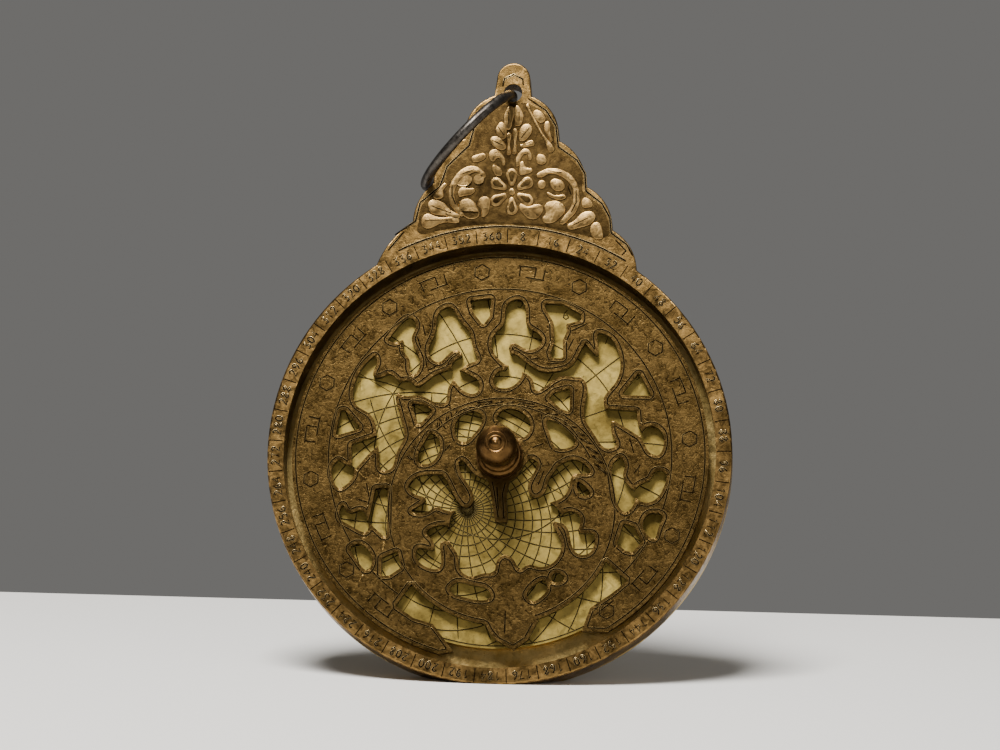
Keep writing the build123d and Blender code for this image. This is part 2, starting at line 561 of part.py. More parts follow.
def ring_lean():
    """How far the ring leans from straight down before its far side clears the throne's flank."""
    flank = mirror(throne_half(LOBE_BULGES_LEFT, LEFT_NOTCH_FILED_IN), Plane.YZ)
    across = 2 * RING_RADIUS + RING_SAG
    lean = 0
    clear = False
    while not clear:
        lean += LEAN_STEP
        turn = math.radians(lean)
        far_side = Vertex(-across * math.sin(turn), EYE_HEIGHT - across * math.cos(turn), 0)
        clear = far_side.distance_to(flank) > RING_WIRE_RADIUS + RING_REST_GAP
    return math.radians(lean)


def suspension_ring():
    """A plain wire ring hung loosely in the eye. At rest it lies against the throne's left flank."""
    lean = ring_lean()
    print("ring leans", round(math.degrees(lean), 1))
    twist = math.radians(RING_TWIST)
    reach = RING_RADIUS + RING_SAG
    centre = (-reach * math.sin(lean), THRONE_MIDDLE, EYE_HEIGHT - reach * math.cos(lean))
    across = (math.cos(lean) * math.cos(twist), math.sin(twist), -math.sin(lean) * math.cos(twist))
    return Plane(origin=centre, z_dir=across) * Torus(RING_RADIUS, RING_WIRE_RADIUS)


os.makedirs("parts", exist_ok=True)
save("limb_and_throne", limb_and_throne())
save("back_plate", back_plate())
save("rim_rivets", rim_rivets())
save("locating_peg", locating_peg())
for number, place in enumerate(["bottom", "lower", "upper", "top"][:PLATE_COUNT]):
    save(place + "_latitude_plate", latitude_plate(number))
save("rete", rete())
save("axis_bolt", axis_bolt())
save("front_washer", washer(FRONT_WASHER_RADIUS, KNOB_SEAT, FRONT_WASHER_THICKNESS))
save("back_washer", washer(BACK_WASHER_RADIUS, BACK_WASHER_FRONT, BACK_WASHER_THICKNESS))
save("knob", knob())
save("alidade_bar", alidade())
save("left_sighting_vane", sighting_vane(-1))
save("right_sighting_vane", sighting_vane(1))
save("vane_rivets", vane_rivets())
save("suspension_ring", suspension_ring())
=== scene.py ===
"""The look of a hand-held planispheric astrolabe in cast and pierced brass.

The instrument's front looks towards -y and its disc is centred on the origin. Sizes and places are in
millimetres on the disc, x to the right and z up, unless a name or comment says otherwise.
"""
import math

import bmesh
import bpy
from mathutils import Matrix, Vector


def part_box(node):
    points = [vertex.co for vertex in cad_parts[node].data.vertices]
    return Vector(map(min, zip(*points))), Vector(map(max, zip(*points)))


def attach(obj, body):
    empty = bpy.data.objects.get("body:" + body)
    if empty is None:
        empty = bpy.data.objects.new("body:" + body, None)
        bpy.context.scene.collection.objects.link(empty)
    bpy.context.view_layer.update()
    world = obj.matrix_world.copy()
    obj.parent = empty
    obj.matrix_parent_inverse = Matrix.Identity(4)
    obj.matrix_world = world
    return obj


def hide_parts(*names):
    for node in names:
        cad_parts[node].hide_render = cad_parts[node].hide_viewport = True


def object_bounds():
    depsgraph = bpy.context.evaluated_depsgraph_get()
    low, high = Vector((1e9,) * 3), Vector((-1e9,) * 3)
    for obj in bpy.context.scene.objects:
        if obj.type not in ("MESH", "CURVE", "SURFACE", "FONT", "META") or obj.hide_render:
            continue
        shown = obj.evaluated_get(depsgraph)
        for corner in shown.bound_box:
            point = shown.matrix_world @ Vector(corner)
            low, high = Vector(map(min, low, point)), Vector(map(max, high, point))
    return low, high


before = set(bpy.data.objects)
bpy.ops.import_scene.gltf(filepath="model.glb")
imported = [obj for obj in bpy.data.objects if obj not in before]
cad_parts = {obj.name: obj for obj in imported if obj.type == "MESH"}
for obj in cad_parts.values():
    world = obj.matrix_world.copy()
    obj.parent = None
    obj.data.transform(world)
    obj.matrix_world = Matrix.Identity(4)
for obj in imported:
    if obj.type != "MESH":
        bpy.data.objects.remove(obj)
cad_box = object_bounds()


# The view: the instrument leans back on its stand, a little turned to the left and rolled to the
# right, and is seen from about a metre away through a long lens.
LEAN = math.radians(13.05)
TURN = math.radians(-3.69)
ROLL = math.radians(2.2)
LENS_MM = 151.2
SENSOR_MM = 36.0
NEAREST_SEEN_M = 0.01
# Where the disc's centre lies from the camera, in metres: to the right, up and backwards.
CENTRE_FROM_CAMERA = Vector((-0.000273, -0.020196, -1.08119))

world_to_camera = (
    Matrix.Rotation(-LEAN, 3, "X")
    @ Matrix.Rotation(TURN, 3, "Y")
    @ Matrix.Rotation(-ROLL, 3, "Z")
    @ Matrix.Rotation(math.radians(-90), 3, "X")
)
camera_to_world = world_to_camera.transposed()
camera = bpy.data.objects.new("camera", bpy.data.cameras.new("camera"))
camera.data.lens = LENS_MM
camera.data.sensor_width = SENSOR_MM
camera.data.clip_start = NEAREST_SEEN_M
camera.matrix_world = (
    Matrix.Translation(-(camera_to_world @ CENTRE_FROM_CAMERA)) @ camera_to_world.to_4x4()
)
bpy.context.collection.objects.link(camera)
bpy.context.scene.camera = camera


# The rim and throne: one brass casting, filed and scraped, its surface dulled to a warm brown and
# rubbed bright on the raised parts. Patches of tarnish run a few millimetres wide.
def linear(colour):
    """A hex colour as it is seen on a screen, as linear light, by the sRGB curve."""
    channels = [int(colour[place:place + 2], 16) / 255 for place in (1, 3, 5)]
    return [c / 12.92 if c <= 0.04045 else ((c + 0.055) / 1.055) ** 2.4 for c in channels] + [1.0]


def add(tree, kind, inputs=None, **settings):
    """Adds a shader node with its settings. An input is a value to set or a socket to link."""
    made = tree.nodes.new("ShaderNode" + kind)
    for name, value in settings.items():
        setattr(made, name, value)
    for name, value in (inputs or {}).items():
        if isinstance(value, bpy.types.NodeSocket):
            tree.links.new(value, made.inputs[name])
        else:
            made.inputs[name].default_value = value
    return made


def blank_material(name):
    material = bpy.data.materials.new(name)
    material.use_nodes = True
    material.node_tree.nodes.clear()
    return material, material.node_tree


def ramp(tree, value, low, high, from_value=0.0, to_value=1.0):
    """A value spread so that low gives from_value and high gives to_value, and held there beyond them."""
    return add(tree, "MapRange", {"Value": value, "From Min": low, "From Max": high,
                                  "To Min": from_value, "To Max": to_value}).outputs[0]


def blended(tree, share, first, second):
    """The first colour where the share is 0 and the second where it is 1."""
    return add(tree, "Mix", {0: share, 6: first, 7: second}, data_type="RGBA").outputs[2]


def aged_metal(name, bright, tarnish, dirt_and_shade, patch_mm, pit_mm, roughness, pit_depth_mm, worn,
               wall_shade_behind_mm=None):
    """Old worked metal: broad tarnish over a bright ground, fine pits that hold dirt, soft hand polish.

    worn sets how much of the bright ground is left. The scuffs change the gloss, as wax and handling do.
    Sawn walls deeper than the depth given for them get painted shade in the dirt colour, and stay dark.
    """
    patch_edge = (worn - 0.13, worn + 0.17)
    dirty_pits = (0.60, 0.74)
    dirt_cover = 0.8
    wall_shade_fade_mm = 0.4
    wall_shade_cover = 0.9
    scuff_edge = (0.3, 0.7)
    gloss_span = (roughness - 0.09, roughness + 0.12)

    material, tree = blank_material(name)
    place = add(tree, "TexCoord").outputs["Object"]
    patches = add(tree, "TexNoise", {"Vector": place, "Scale": 1000 / patch_mm, "Detail": 6.0,
                                     "Roughness": 0.62}).outputs["Fac"]
    pits = add(tree, "TexNoise", {"Vector": place, "Scale": 1000 / pit_mm, "Detail": 4.0,
                                  "Roughness": 0.7}).outputs["Fac"]
    scuffs = add(tree, "TexNoise", {"Vector": place, "Scale": 1000 / (pit_mm * 4), "Detail": 3.0,
                                    "Distortion": 1.5}).outputs["Fac"]
    colour = blended(tree, ramp(tree, patches, *patch_edge), linear(bright), linear(tarnish))
    colour = blended(tree, ramp(tree, pits, *dirty_pits, to_value=dirt_cover), colour, linear(dirt_and_shade))
    # Painted shade: the window walls behind the given depth are darkened towards the dirt colour.
    if wall_shade_behind_mm is not None:
        depth = add(tree, "SeparateXYZ", {0: place}).outputs["Y"]
        inside = ramp(tree, depth, wall_shade_behind_mm / 1000, (wall_shade_behind_mm + wall_shade_fade_mm) / 1000,
                      to_value=wall_shade_cover)
        colour = blended(tree, inside, colour, linear(dirt_and_shade))
    gloss = ramp(tree, scuffs, *scuff_edge, *gloss_span)
    height = add(tree, "Math", {0: pits, 1: scuffs}, operation="ADD").outputs[0]
    bump = add(tree, "Bump", {"Height": height, "Strength": 0.55, "Distance": pit_depth_mm / 1000})
    metal = add(tree, "BsdfPrincipled", {"Base Color": colour, "Metallic": 1.0, "Roughness": gloss,
                                         "Normal": bump.outputs[0]})
    add(tree, "OutputMaterial", {"Surface": metal.outputs[0]})
    return material


def add_object(name, data):
    made = bpy.data.objects.new(name, data)
    bpy.context.collection.objects.link(made)
    return made


def add_piece(name, mesh, material, body):
    """Puts a mesh into the scene as a piece in one material, which rides on a body."""
    mesh.materials.clear()
    mesh.materials.append(material)
    piece = add_object(name, mesh)
    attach(piece, body)
    return piece


MERGE_M = 1e-6
FLAT = math.radians(0.5)
SHARP = math.radians(50)


def dress(node, material, body, bevel_mm=0.0, smooth_deg=32):
    """A merged, smooth-shaded copy of a solid, its sharp edges broken where bevel_mm says so.

    Faces up to smooth_deg apart are shaded as one, and the wide ones lead, so that flat metal looks flat.
    """
    shape = bmesh.new()
    shape.from_mesh(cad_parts[node].data)
    bmesh.ops.remove_doubles(shape, verts=shape.verts, dist=MERGE_M)
    if bevel_mm:
        bmesh.ops.dissolve_limit(shape, angle_limit=FLAT, verts=shape.verts, edges=shape.edges)
        sharp = [edge for edge in shape.edges
                 if len(edge.link_faces) == 2 and edge.calc_face_angle() > SHARP]
        bmesh.ops.bevel(shape, geom=sharp, offset=bevel_mm / 1000, offset_type="OFFSET", segments=2,
                        profile=0.5, affect="EDGES", material=-1, clamp_overlap=True)
        bmesh.ops.triangulate(shape, faces=[face for face in shape.faces if len(face.verts) > 4])
    mesh = bpy.data.meshes.new(node + "_surface")
    shape.to_mesh(mesh)
    shape.free()
    mesh.shade_smooth()
    mesh.set_sharp_from_angle(angle=math.radians(smooth_deg))
    piece = add_piece(node + "_surface", mesh, material, body)
    even_shading = piece.modifiers.new("even_shading", "WEIGHTED_NORMAL")
    even_shading.keep_sharp = True
    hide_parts(node)


# Filed cast brass: a warm satin brown with brighter rubbed patches and near-black dirt in its pits.
cast_brass = aged_metal("filed_cast_brass", bright="#9a7945", tarnish="#523f20", dirt_and_shade="#150e06",
                        patch_mm=7.0, pit_mm=0.55, roughness=0.34, pit_depth_mm=0.09, worn=0.48)
dress("limb_and_throne", cast_brass, "mater")


# The scale on the rim: cells of 8 degrees, their lines and figures cut by hand into the cast brass with a
# graver. Each stroke is a dark furrow between two thin burrs, which carry a painted highlight.
def front_of(node):
    """How far a node's front lies behind the rim's face."""
    return round(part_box(node)[0][1] * 1000, 2)


def back_of(node):
    """How far a node's back lies behind the rim's face."""
    return round(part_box(node)[1][1] * 1000, 2)


def radius_of(node):
    """How far a round node reaches from the axis."""
    return round(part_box(node)[1][0] * 1000, 2)


RIM_FRONT = front_of("limb_and_throne")
RIM_RADIUS = radius_of("limb_and_throne")
RIM_CELL_DEG = 8
RIM_CELLS = 360 // RIM_CELL_DEG
RIM_LINE_SPAN = (RIM_RADIUS - 3.9, RIM_RADIUS - 0.3)
RIM_FIGURE_RADIUS = RIM_RADIUS - 2.15
RIM_FIGURE_HEIGHT = 2.1
RIM_STROKE_WIDTH = 0.62

# Each digit is drawn with a few strokes in a box about 0.6 wide and 1 high.
DIGITS = {
    "0": [[(0.3, 1), (0.05, 0.75), (0.05, 0.25), (0.3, 0), (0.55, 0.25), (0.55, 0.75), (0.3, 1)]],
    "1": [[(0.1, 0.8), (0.32, 1), (0.32, 0)]],
    "2": [[(0.05, 0.8), (0.25, 1), (0.5, 0.85), (0.48, 0.6), (0.05, 0), (0.58, 0.03)]],
    "3": [[(0.05, 0.95), (0.5, 1), (0.25, 0.6), (0.55, 0.4), (0.45, 0.05), (0.05, 0.08)]],
    "4": [[(0.45, 0), (0.42, 1), (0.02, 0.35), (0.6, 0.33)]],
    "5": [[(0.5, 1), (0.1, 0.97), (0.08, 0.58), (0.45, 0.6), (0.55, 0.3), (0.35, 0), (0.05, 0.08)]],
    "6": [[(0.45, 1), (0.1, 0.6), (0.05, 0.2), (0.3, 0), (0.55, 0.2), (0.4, 0.48), (0.08, 0.35)]],
    "7": [[(0.05, 0.97), (0.55, 1), (0.22, 0)]],
    "8": [[(0.3, 0.55), (0.08, 0.8), (0.3, 1), (0.5, 0.8), (0.3, 0.55), (0.05, 0.25), (0.3, 0), (0.55, 0.25),
           (0.3, 0.55)]],
    "9": [[(0.5, 0.65), (0.2, 0.5), (0.08, 0.8), (0.3, 1), (0.52, 0.8), (0.45, 0.3), (0.2, 0)]],
}
DIGIT_PITCH = 0.85
DIGIT_GAP_SHARE = 0.3


def figures(text, x, z, height, turn=0.0):
    """The strokes of a plain number, centred on a point and turned clockwise."""
    strokes = []
    start = -(len(text) - DIGIT_GAP_SHARE) * DIGIT_PITCH / 2
    for place, digit in enumerate(text):
        for stroke in DIGITS[digit]:
            points = []
            for across, up in stroke:
                along = (start + place * DIGIT_PITCH + across) * height
                above = (up - 0.5) * height
                points.append((x + along * math.cos(turn) + above * math.sin(turn),
                               z - along * math.sin(turn) + above * math.cos(turn)))
            strokes.append(points)
    return strokes


def around(radius, turn):
    """The point at a radius from the disc's centre, turned clockwise from the top."""
    return (radius * math.sin(turn), radius * math.cos(turn))


def ring_stroke(radius, x=0.0, z=0.0, start=0.0, end=360.0, step_mm=1.2):
    """A circle or an arc of one, in degrees clockwise from the top, as a stroke."""
    count = max(4, int(abs(end - start) / 360 * 2 * math.pi * radius / step_mm))
    turns = [math.radians(start + (end - start) * i / count) for i in range(count + 1)]
    return [(x + radius * math.sin(turn), z + radius * math.cos(turn)) for turn in turns]


# A stroke's section, half of it, from the furrow's floor over the burr to its root inside the metal: how far
# out as a share of half the stroke's width, and how high over the face. The colour turns from the furrow's
# dirt to a painted highlight on the burr between two shares of its height.
BURR_HEIGHT = 0.09
HALF_SECTION = [(0.48, 0.012), (0.72, BURR_HEIGHT), (1.0, -0.03)]
BURR_HIGHLIGHT_SHARES = (0.55, 0.95)
END_TAPER = 0.45
DIRT_ROUGHNESS = 0.75


def furrow_material(name, burr_highlight, furrow, face_mm, roughness, back=False):
    """Dark dirt in the furrow and a painted highlight on the burrs: the height over the face decides."""
    material, tree = blank_material(name)
    place = add(tree, "TexCoord").outputs["Object"]
    depth = add(tree, "SeparateXYZ", {0: place}).outputs["Y"]
    outward = BURR_HEIGHT if back else -BURR_HEIGHT
    # Painted highlight: the burrs are coloured bright by their height over the face, the furrow dark with
    # dirt.
    highlight_heights = [(face_mm + outward * share) / 1000 for share in BURR_HIGHLIGHT_SHARES]
    colour = blended(tree, ramp(tree, depth, *highlight_heights), linear(furrow), linear(burr_highlight))
    gloss = ramp(tree, depth, *highlight_heights, DIRT_ROUGHNESS, roughness)
    metal = add(tree, "BsdfPrincipled", {"Base Color": colour, "Metallic": 1.0, "Roughness": gloss})
    add(tree, "OutputMaterial", {"Surface": metal.outputs[0]})
    return material


def mesh_on_face(curve, face_mm, back=False):
    """The mesh of a curve drawn in millimetres, stood up on the front of a face, or on the back."""
    drawing = add_object(curve.name + "_drawing", curve)
    bpy.context.view_layer.update()
    mesh = bpy.data.meshes.new_from_object(drawing.evaluated_get(bpy.context.evaluated_depsgraph_get()))
    bpy.data.objects.remove(drawing)
    stand = Matrix.Rotation(math.radians(90), 4, "X")
    if back:
        stand = Matrix.Rotation(math.radians(180), 4, "Z") @ stand
    mesh.transform(Matrix.Translation((0, face_mm / 1000, 0)) @ stand @ Matrix.Scale(0.001, 4))
    return mesh


def engrave(name, strokes, face_mm, width_mm, body, material, back=False):
    """Cuts strokes into a face: each is swept with a furrow's section, and narrows at its ends."""
    half = width_mm / 2
    corners = [(-half * out, up) for out, up in reversed(HALF_SECTION)]
    corners += [(half * out, up) for out, up in HALF_SECTION]
    section = bpy.data.curves.new(name + "_section", "CURVE")
    section.dimensions = "2D"
    outline = section.splines.new("POLY")
    outline.points.add(len(corners) - 1)
    for point, corner in zip(outline.points, corners):
        point.co = (*corner, 0, 1)
    outline.use_cyclic_u = True
    section_object = add_object(name + "_section", section)

    path = bpy.data.curves.new(name, "CURVE")
    path.dimensions = "3D"
    path.twist_mode = "Z_UP"
    path.bevel_mode = "OBJECT"
    path.bevel_object = section_object
    path.use_fill_caps = True
    for stroke in strokes:
        spline = path.splines.new("POLY")
        spline.points.add(len(stroke) - 1)
        for point, (x, z) in zip(spline.points, stroke):
            point.co = (x, z, 0, 1)
        spline.points[0].radius = END_TAPER
        spline.points[-1].radius = END_TAPER
    mesh = mesh_on_face(path, face_mm, back)
    bpy.data.objects.remove(section_object)
    add_piece(name, mesh, material, body)


rim_strokes = []
for cell in range(RIM_CELLS):
    turn = 2 * math.pi * cell / RIM_CELLS
    middle = turn + math.pi / RIM_CELLS
    rim_strokes.append([around(radius, turn) for radius in RIM_LINE_SPAN])
    rim_strokes += figures(str((cell + 1) * RIM_CELL_DEG), *around(RIM_FIGURE_RADIUS, middle),
                           RIM_FIGURE_HEIGHT, middle)
# Cuts in cast brass: near-black lines with a thin painted highlight on their edges.
rim_furrow = furrow_material("graver_cut_in_cast_brass", burr_highlight="#cdb07a", furrow="#0f0a05", face_mm=RIM_FRONT,
                             roughness=0.32)
engrave("rim_scale", rim_strokes, RIM_FRONT, RIM_STROKE_WIDTH, "mater", rim_furrow)


# The throne's ornament, chased into the cast brass: a flower of six petals under a palmette, a curling leaf
# on each side and long leaves in the corners. The leaves are rubbed bright and the sunk ground is dark.
LEAF_RISE = 0.34
LEAF_ROUND = 0.30
LEAF_FRONT = RIM_FRONT - LEAF_RISE
VEIN_WIDTH = 0.55
BORDER_WIDTH = 0.75
HOLLOW_RISE = 0.07
HOLLOW_ROUND = 0.04
GROUND_RISE = 0.03
GROUND_ROUND = 0.01
ROUNDING_STEPS = 2
OUTLINE_STEPS = 5
CREASE = math.radians(60)


def chase(name, outlines, rise, rounding, face_mm, material):
    """Smooth closed outlines filled and raised over a face of the throne, their upper edge rounded over."""
    curve = bpy.data.curves.new(name, "CURVE")
    curve.dimensions = "2D"
    curve.fill_mode = "BOTH"
    curve.extrude = rise - rounding
    curve.bevel_depth = rounding
    curve.bevel_resolution = ROUNDING_STEPS
    curve.offset = -rounding
    for outline in outlines:
        spline = curve.splines.new("BEZIER")
        spline.bezier_points.add(len(outline) - 1)
        for point, (x, z) in zip(spline.bezier_points, outline):
            point.co = (x, z, 0)
            point.handle_left_type = "AUTO"
            point.handle_right_type = "AUTO"
        spline.use_cyclic_u = True
        spline.resolution_u = OUTLINE_STEPS
    mesh = mesh_on_face(curve, face_mm)
    shape = bmesh.new()
    shape.from_mesh(mesh)
    bmesh.ops.remove_doubles(shape, verts=shape.verts, dist=MERGE_M / 10)
    bmesh.ops.recalc_face_normals(shape, faces=shape.faces)
    shape.to_mesh(mesh)
    shape.free()
    mesh.shade_smooth()
    mesh.set_sharp_from_angle(angle=CREASE)
    add_piece(name, mesh, material, "mater")


FLOWER = (0.7, 69.9)
FLOWER_TURN = -0.04
PETALS = 6
PETAL_MIDDLE = 3.9
PETAL_HALF_SIZE = (2.45, 1.55)
HOLLOW_MIDDLE = 4.1
HOLLOW_HALF_SIZE = (1.5, 0.75)
HEART_RADIUS = 0.95


def petal_ring(middle, half_size):
    """The flower's petals, each wider towards its tip, with their middles on a ring."""
    outlines = []
    for number in range(PETALS):
        turn = 2 * math.pi * number / PETALS + FLOWER_TURN
        outline = []
        for along, aside in ((-1, 0), (-0.2, -0.8), (0.55, -1), (1, 0), (0.55, 1), (-0.2, 0.8)):
            reach = middle + along * half_size[0]
            side = aside * half_size[1]
            outline.append((FLOWER[0] + reach * math.sin(turn) + side * math.cos(turn),
                            FLOWER[1] + reach * math.cos(turn) - side * math.sin(turn)))
        outlines.append(outline)
    return outlines


FLOWER_HEART = ring_stroke(HEART_RADIUS, *FLOWER, step_mm=0.9)[:-1]
PALMETTE = [
    [(-0.2, 93.2), (-1.9, 91.6), (-2.2, 89.2), (-0.9, 86.6), (0.2, 88.8)],
    [(0.9, 93.4), (0.5, 90.2), (1.4, 87.6), (3.0, 89.6), (2.6, 92.0)],
    [(-2.5, 88.8), (-4.0, 87.6), (-4.2, 85.6), (-2.0, 84.0), (-1.2, 86.0)],
    [(2.6, 87.8), (4.2, 88.4), (5.4, 87.6), (5.0, 85.4), (2.4, 83.6), (1.8, 85.4)],
    [(-4.4, 84.9), (-5.6, 83.9), (-4.8, 82.3), (-1.4, 81.4), (-1.8, 83.4)],
    [(5.6, 84.0), (6.2, 82.8), (4.8, 82.2), (2.2, 82.4), (3.4, 83.0)],
    [(-0.6, 86.0), (-1.0, 82.6), (-0.5, 79.6), (-0.2, 82.8)],
    [(0.9, 87.2), (0.6, 83.0), (0.9, 79.9), (1.4, 83.4)],
    [(-5.9, 79.6), (-4.6, 81.3), (-2.8, 80.7), (-1.3, 77.2), (-1.9, 76.9), (-3.2, 79.0), (-4.5, 77.9)],
    [(1.3, 77.3), (2.2, 80.6), (4.0, 81.7), (5.6, 80.2), (5.0, 78.4), (3.9, 80.2), (2.9, 79.2), (2.0, 76.7)],
    [(-2.9, 76.6), (-4.6, 77.0), (-4.2, 74.8), (-2.6, 74.0), (-1.9, 75.2)],
    [(2.2, 76.2), (3.2, 78.3), (4.3, 76.6), (6.0, 76.0), (4.4, 74.7), (2.5, 74.6)],
    [(-10.4, 78.4), (-8.6, 79.9), (-6.4, 79.8), (-7.6, 78.0)],
    [(6.6, 78.9), (7.6, 80.3), (9.6, 78.6), (8.0, 77.3)],
]
LEFT_SCROLL = [
    [(-6.2, 73.8), (-7.4, 75.7), (-9.6, 76.7), (-12.4, 75.9), (-14.7, 73.4), (-15.9, 70.2), (-15.7, 67.0),
     (-14.0, 64.4), (-11.7, 63.0), (-12.6, 65.0), (-13.9, 67.4), (-14.1, 70.2), (-12.6, 72.6),
     (-10.2, 74.5), (-8.3, 74.9), (-7.7, 73.6)],
    [(-8.9, 73.6), (-8.9, 72.3), (-7.6, 72.1), (-7.0, 73.0), (-7.6, 74.2)],
    [(-13.2, 66.0), (-11.6, 67.7), (-9.4, 67.3), (-8.2, 65.6), (-7.5, 63.4), (-8.8, 62.3), (-11.4, 62.8)],
    [(-7.6, 68.0), (-5.2, 68.2), (-4.9, 65.6), (-5.5, 63.6), (-6.9, 62.9), (-7.2, 64.8), (-8.2, 66.3)],
    [(-13.4, 72.0), (-12.0, 71.4), (-10.2, 72.6), (-10.6, 73.6), (-12.2, 73.2)],
    [(-12.9, 70.6), (-13.2, 68.3), (-11.6, 68.5), (-9.6, 69.0), (-8.9, 70.4), (-10.6, 70.6)],
]
RIGHT_SCROLL = [
    [(6.9, 74.2), (8.4, 75.8), (11.2, 76.5), (14.6, 75.7), (17.4, 73.2), (18.5, 69.6), (18.2, 65.9),
     (16.2, 63.0), (13.6, 61.4), (14.4, 63.4), (16.0, 65.8), (16.6, 69.4), (15.6, 72.4), (12.8, 74.5),
     (10.0, 74.8), (8.4, 73.9)],
    [(7.4, 72.6), (9.2, 73.0), (9.4, 71.4), (7.9, 70.9)],
    [(9.3, 66.2), (10.8, 67.5), (13.6, 67.3), (14.9, 65.6), (13.4, 63.0), (11.0, 61.5), (8.8, 62.4),
     (9.6, 64.2)],
    [(2.9, 66.6), (5.2, 66.0), (7.2, 66.7), (9.0, 66.1), (8.6, 63.9), (6.8, 62.5), (4.4, 63.4)],
    [(10.6, 72.9), (12.6, 73.6), (14.6, 71.6), (13.0, 70.2), (11.2, 71.0)],
    [(9.8, 69.8), (12.0, 69.2), (15.0, 69.0), (14.6, 68.2), (11.6, 68.2)],
]
CORNER_LEAVES = [
    [(-20.8, 67.0), (-17.8, 66.9), (-15.0, 64.6), (-12.6, 62.6), (-16.6, 63.0), (-20.6, 64.0)],
    [(-22.0, 63.2), (-18.0, 62.6), (-12.6, 61.9), (-16.8, 61.1), (-22.2, 59.8)],
    [(-16.4, 71.8), (-17.3, 69.8), (-17.2, 68.0), (-19.8, 67.9), (-18.8, 69.9)],
    [(17.2, 62.4), (20.0, 64.9), (22.6, 64.4), (22.4, 62.4), (19.2, 60.6), (15.4, 60.6)],
    [(23.2, 62.2), (24.9, 59.2), (24.6, 57.6), (21.4, 59.4)],
    [(19.3, 68.4), (20.6, 68.6), (22.0, 66.6), (20.4, 65.9), (19.2, 66.2)],
    [(3.9, 94.0), (5.0, 92.0), (8.1, 86.3), (10.9, 80.7), (8.4, 84.4), (5.2, 90.0)],
    [(9.4, 89.3), (8.4, 86.9), (9.2, 85.4), (10.6, 83.6), (10.3, 86.2)],
    [(5.6, 92.0), (8.9, 90.3), (8.3, 88.9), (7.2, 88.7)],
]
GROUND = [(0.6, 94.0), (3.6, 94.0), (8.6, 91.2), (10.9, 87.6), (11.9, 81.6), (17.0, 78.0), (19.0, 75.0),
          (19.4, 69.9), (23.7, 66.9), (25.8, 63.2), (26.2, 58.6), (18.0, 59.0), (9.0, 60.6), (0.0, 61.2),
          (-9.0, 60.6), (-18.0, 59.0), (-23.4, 58.4), (-23.4, 61.0), (-22.6, 66.0), (-17.6, 70.4),
          (-15.9, 76.2), (-10.4, 81.9), (-9.2, 86.7), (-3.6, 93.0)]
LEAF_VEINS = [
    [(-0.9, 91.4), (-0.8, 88.2)], [(1.8, 91.6), (1.9, 88.9)], [(-3.6, 87.4), (-2.0, 85.2)],
    [(4.6, 87.2), (2.6, 84.4)], [(-5.0, 83.7), (-2.2, 82.4)], [(5.4, 83.6), (2.6, 82.3)],
    [(-15.0, 71.2), (-14.9, 68.4), (-13.8, 66.0)], [(-9.4, 75.7), (-12.4, 74.4)],
    [(17.5, 70.6), (17.6, 67.2), (16.4, 64.6)], [(15.3, 71.6), (16.2, 69.6)], [(-20.4, 65.6), (-14.6, 63.6)],
    [(-21.6, 61.6), (-14.6, 61.9)], [(20.9, 63.2), (16.8, 61.0)], [(9.9, 75.7), (13.6, 75.2)],
]
LEFT_BORDER = [(-4.3, 93.6), (-9.9, 86.9), (-11.0, 82.2), (-16.5, 76.4), (-18.2, 70.9), (-23.2, 66.4),
               (-24.2, 61.4), (-29.4, 57.6)]
RIGHT_BORDER = [(3.9, 95.4), (8.9, 92.1), (11.6, 87.9), (12.4, 82.3), (17.4, 78.8), (19.6, 75.2),
                (20.1, 70.4), (24.3, 67.2), (26.5, 63.4), (27.0, 59.3), (31.2, 56.2), (32.8, 53.2)]
FOOT_BORDER = ring_stroke(RIM_RADIUS + 0.4, start=-28, end=31)
EYE_BORDER = [(2.6, 98.9), (2.4, 100.6), (0.0, 101.8), (-2.4, 100.6), (-2.8, 98.4)]
LEFT_FOOT_CURL = [(-27.0, 58.6), (-29.6, 55.2), (-31.0, 53.4)]
RIGHT_FOOT_CURL = [(28.2, 57.4), (31.0, 54.6), (30.0, 53.4)]

# Rubbed raised brass: the lightest and glossiest of the casting, a soft gold worn smooth by the hand.
leaf_brass = aged_metal("rubbed_raised_brass", bright="#b8955c", tarnish="#7d6239", dirt_and_shade="#21170b",
                        patch_mm=3.0, pit_mm=0.5, roughness=0.34, pit_depth_mm=0.06, worn=0.47)
# Brass under packed dirt: a matt dark brown that makes the leaves stand out.
ground_brass = aged_metal("dirt_filled_ground_brass", bright="#45351b", tarnish="#251a0b", dirt_and_shade="#0b0703",
                          patch_mm=2.0, pit_mm=0.4, roughness=0.55, pit_depth_mm=0.12, worn=0.50)
leaves = petal_ring(PETAL_MIDDLE, PETAL_HALF_SIZE) + PALMETTE + LEFT_SCROLL + RIGHT_SCROLL + CORNER_LEAVES
chase("throne_leaves", leaves + [FLOWER_HEART], LEAF_RISE, LEAF_ROUND, RIM_FRONT, leaf_brass)
chase("petal_hollows", petal_ring(HOLLOW_MIDDLE, HOLLOW_HALF_SIZE), HOLLOW_RISE, HOLLOW_ROUND, LEAF_FRONT,
      ground_brass)
chase("throne_ground", [GROUND], GROUND_RISE, GROUND_ROUND, RIM_FRONT, ground_brass)
# Cuts in the raised leaves: dark veins with a painted highlight on their edges, a shade lighter than the
# leaf.
leaf_furrow = furrow_material("graver_cut_in_raised_brass", burr_highlight="#c6a468", furrow="#160e06",
                              face_mm=LEAF_FRONT, roughness=0.34)
engrave("leaf_veins", LEAF_VEINS, LEAF_FRONT, VEIN_WIDTH, "mater", leaf_furrow)
throne_lines = [LEFT_BORDER, RIGHT_BORDER, FOOT_BORDER, EYE_BORDER, LEFT_FOOT_CURL, RIGHT_FOOT_CURL]
engrave("throne_lines", throne_lines, RIM_FRONT, BORDER_WIDTH, "mater", rim_furrow)


# The plates: hammered sheet brass scraped flat and polished, paler and yellower than the casting. The front
# one carries the curves of equal height and direction over one horizon, drawn as true circles.

